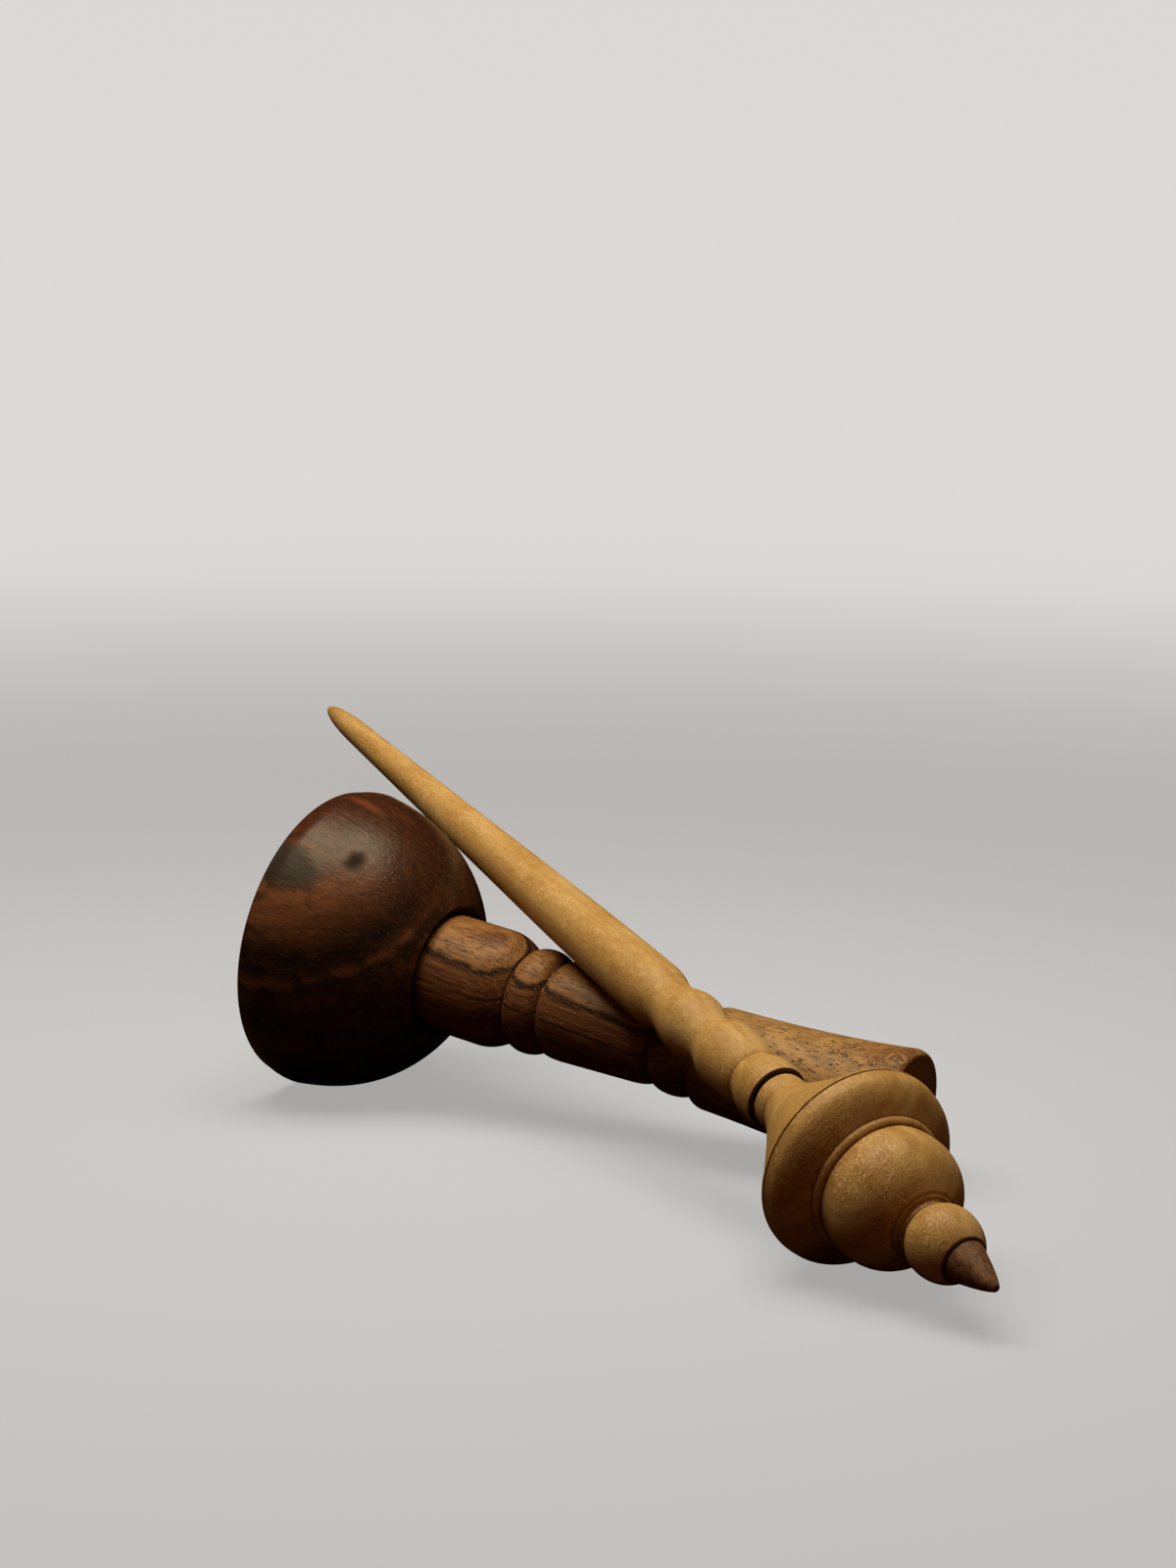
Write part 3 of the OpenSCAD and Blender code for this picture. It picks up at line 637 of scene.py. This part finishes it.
def tip_timber():
    """Hard dark wood, mottled, with tan streaks along the point."""
    material, tree, point, shader = new_timber("tip_hardwood", spindle_line)
    streak = noise(tree, stretched(tree, point, 1.1, 6.0), 1.0, 4.0, 0.65, 0.4)
    mottle = noise(tree, stretched(tree, point, 0.45, 0.9), 1.0, 3.0, 0.6, 0.5)
    body = maths(tree, "ADD", maths(tree, "MULTIPLY", streak, 0.55), maths(tree, "MULTIPLY", mottle, 0.45))
    colour = ramp(tree, body, [(0.36, TIP_DEEP), (0.62, TIP_PALE)])
    # Painted shade in the nib joint, where the ball's edge shades the nib
    nib_joint_shade = use(tree, CREASE, Point=point, Station=NIB_JOINT, Half_width=0.7)["Mask"]
    colour = darken(tree, colour, nib_joint_shade, 0.85, BURN_AND_SHADE_DARK)
    rough = maths(tree, "MULTIPLY_ADD", mottle, 0.2, 0.38)
    finish_surface(tree, shader, colour, rough, mottle, 0.00008, 0.24)
    return material


# The pieces

TIMBERS = {"shaft": gold_timber(), "tip": tip_timber(), "bowl": walnut_cup(), "handle": walnut_handle()}
TIMBERS["whorl"] = TIMBERS["shaft"]
PIECES = [("shaft", "spindle", "pale_wood"), ("whorl", "spindle", "pale_wood"), ("tip", "spindle", "tip_wood"),
          ("bowl", "bowl_set", "dark_wood"), ("handle", "bowl_set", "dark_wood")]

for node_name, body, slot in PIECES:
    line = spindle_line if body == "spindle" else bowl_line
    points = outline_of(frame["nodes"][node_name], line)
    if node_name == "whorl":
        points = round_the_rim(points)
    piece = turn_piece("turned_" + node_name, points, line)
    piece.data.materials.append(TIMBERS[node_name])
    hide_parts(node_name)
    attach(piece, body)


# Floor and backdrop: one pale sweep

def pale_sweep():
    """Pale as it is seen, and dim as a light on the object. Far out its own glow makes up for the lamp's falloff."""
    material = bpy.data.materials.new("pale_sweep")
    material.use_nodes = True
    tree = material.node_tree
    tree.nodes.clear()
    seen = put(tree, "LightPath").outputs
    shown = maths(tree, "MAXIMUM", seen["Is Camera Ray"], seen["Is Transmission Ray"])
    place = put(tree, "TexCoord").outputs["Object"]
    far_out = step(tree, vector_maths(tree, "LENGTH", place), 0.25, 1.3)
    glow_level = maths(tree, "MULTIPLY", shown, maths(tree, "MULTIPLY_ADD", far_out, 0.45, 0.55))
    diffuse = put(tree, "BsdfDiffuse", None, {"Color": mix(tree, shown, FLOOR_BOUNCE, PALE_UNDER_LAMP)})
    dark = put(tree, "BsdfDiffuse", None, {"Color": (0, 0, 0)})
    halved = put(tree, "MixShader", None, {"Fac": 0.55})
    glow = put(tree, "Emission", None, {"Color": PALE, "Strength": glow_level})
    both = put(tree, "AddShader")
    tree.links.new(diffuse.outputs[0], halved.inputs[1])
    tree.links.new(dark.outputs[0], halved.inputs[2])
    tree.links.new(halved.outputs[0], both.inputs[0])
    tree.links.new(glow.outputs[0], both.inputs[1])
    put(tree, "OutputMaterial", None, {"Surface": both.outputs[0]})
    return material


def sweep_floor():
    """A floor that curves up into a backdrop well behind the object."""
    back = Vector((-math.sin(math.radians(CAMERA_TURN)), math.cos(math.radians(CAMERA_TURN)), 0))
    wide = Vector((back.y, -back.x, 0))
    bpy.ops.object.select_all(action="DESELECT")
    bpy.ops.mesh.primitive_plane_add(size=1.0, location=(0, 0, 0))
    floor = bpy.context.object
    floor.name = "floor_sweep"
    reach = 3.0
    bend = 0.9
    profile = [(-reach, 0.0), (1.1, 0.0)]
    for i in range(1, 17):
        angle = math.radians(90 * i / 16)
        profile.append((1.1 + bend * math.sin(angle), bend * (1 - math.cos(angle))))
    profile.append((1.1 + bend, 3.0))
    bpy.ops.object.mode_set(mode="EDIT")
    bpy.ops.mesh.select_all(action="SELECT")
    bpy.ops.mesh.merge(type="CENTER")
    places = [back * along + wide * -reach + Vector((0, 0, up)) for along, up in profile]
    bpy.ops.transform.translate(value=places[0])
    for before, after in zip(places, places[1:]):
        bpy.ops.mesh.extrude_region_move(TRANSFORM_OT_translate={"value": after - before})
    bpy.ops.mesh.select_all(action="SELECT")
    bpy.ops.mesh.extrude_region_move(TRANSFORM_OT_translate={"value": wide * reach * 2})
    bpy.ops.object.mode_set(mode="OBJECT")
    bpy.ops.object.shade_smooth()
    floor.data.materials.append(pale_sweep())


def set_camera():
    data = bpy.data.cameras.new("camera")
    camera = bpy.data.objects.new("camera", data)
    bpy.context.scene.collection.objects.link(camera)
    data.sensor_fit = "VERTICAL"
    data.sensor_height = FILM_HEIGHT
    data.lens = CAMERA_LENS
    camera.location = camera_place
    level = Euler((math.radians(90 + CAMERA_PITCH), 0, math.radians(CAMERA_TURN))).to_matrix()
    camera.rotation_euler = (level @ Matrix.Rotation(math.radians(CAMERA_ROLL), 3, "Z")).to_euler()
    bpy.context.scene.camera = camera


def set_light():
    low, high = cad_box
    middle = (Vector(low) + Vector(high)) / 2
    data = bpy.data.lights.new("softbox", "AREA")
    data.shape = "RECTANGLE"
    data.size, data.size_y = LAMP_SIZE
    data.energy = LAMP_POWER
    data.color = LAMP_COLOUR
    lamp = bpy.data.objects.new("softbox", data)
    bpy.context.scene.collection.objects.link(lamp)
    lamp.location = (middle.x + LAMP_PLACE[0], middle.y + LAMP_PLACE[1], LAMP_HEIGHT)
    lamp.rotation_euler = (0, 0, math.radians(CAMERA_TURN))
    world = bpy.data.worlds.new("studio")
    bpy.context.scene.world = world
    world.use_nodes = True
    tree = world.node_tree
    tree.nodes.clear()
    towards = Vector((math.sin(math.radians(CAMERA_TURN)), -math.cos(math.radians(CAMERA_TURN)), 0))
    rise = math.radians(FRONT_FILL_RISE)
    front = towards * math.cos(rise) + Vector((0, 0, math.sin(rise)))
    looking = put(tree, "TexCoord").outputs["Generated"]
    ahead = step(tree, vector_maths(tree, "DOT_PRODUCT", looking, front), 0.30, 0.95)
    fill = mix(tree, ahead, FILL_COLOUR, FRONT_FILL)
    seen = put(tree, "LightPath").outputs["Is Camera Ray"]
    sky = put(tree, "Background", None, {"Color": mix(tree, seen, fill, PALE), "Strength": 1.0})
    put(tree, "OutputWorld", None, {"Surface": sky.outputs[0]})


sweep_floor()
set_camera()
set_light()
bpy.context.scene.view_settings.view_transform = "Standard"
